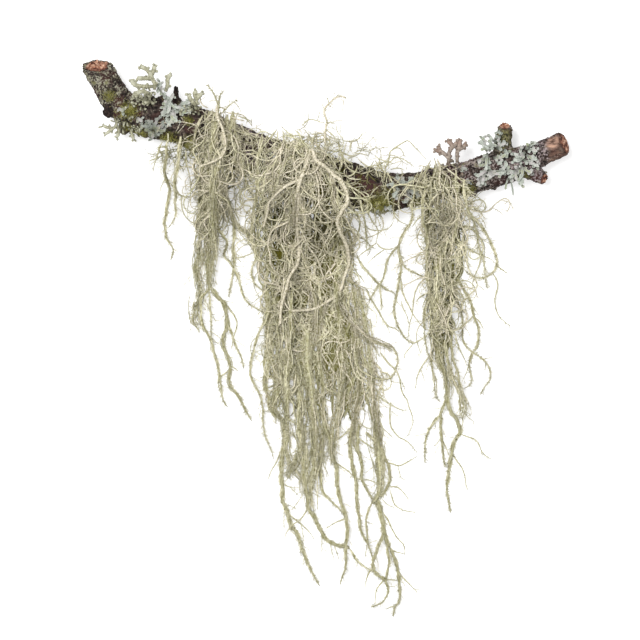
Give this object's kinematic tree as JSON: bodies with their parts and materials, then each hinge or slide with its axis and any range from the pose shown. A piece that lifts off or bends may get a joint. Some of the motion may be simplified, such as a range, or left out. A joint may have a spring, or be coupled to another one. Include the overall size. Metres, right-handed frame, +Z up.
{
  "type": "lichen on a twig",
  "caption": "Short broken twig laid on its side, with fine beard lichens spread out below it and leafy and tube lichens on its bark.",
  "frame": {"origin": "centre of the bounding box, on the surface that the twig lies on", "axes": "+Z up from the surface, +Y from the ends of the beards towards the twig, +X along the twig towards its cut end"},
  "size_m": [0.1695, 0.1965, 0.0254],
  "materials": {
    "bark": "rough dark bark with a pale crust",
    "cut_wood": "bare broken wood",
    "beard_lichen": "matt fine strands",
    "leaf_lichen": "matt leafy lobes",
    "tube_lichen": "matt hollow branches",
    "brown_tube_lichen": "matt hollow branches",
    "moss": "short matt tufts"
  },
  "bodies": {
    "root": {"twig": "bark", "leaf_lichen_left_upper": "leaf_lichen", "leaf_lichen_left_lower": "leaf_lichen", "leaf_lichen_centre": "leaf_lichen", "leaf_lichen_right_inner": "leaf_lichen", "leaf_lichen_right_outer": "leaf_lichen", "tube_lichen_left": "tube_lichen", "tube_lichen_left_lower": "tube_lichen", "tube_lichen_grey": "tube_lichen", "tube_lichen_brown": "brown_tube_lichen", "beard_far_left_outer": "beard_lichen", "beard_far_left_inner": "beard_lichen", "beard_left_back": "beard_lichen", "beard_left_outer": "beard_lichen", "beard_left_middle": "beard_lichen", "beard_left_inner": "beard_lichen", "beard_left_front": "beard_lichen", "beard_centre_left": "beard_lichen", "beard_centre_middle": "beard_lichen", "beard_centre_right": "beard_lichen", "beard_centre_far_right": "beard_lichen", "beard_centre_front_left": "beard_lichen", "beard_centre_front_right": "beard_lichen", "beard_centre_front_lower": "beard_lichen", "beard_centre_outlier_left": "beard_lichen", "beard_centre_outlier_right": "beard_lichen", "beard_right_left": "beard_lichen", "beard_right_back": "beard_lichen", "beard_right_middle": "beard_lichen", "beard_right_inner": "beard_lichen", "beard_right_curl": "beard_lichen", "loops_below_twig": "beard_lichen", "loops_above_twig": "beard_lichen", "top_sprig": "beard_lichen"}
  },
  "joints": []
}
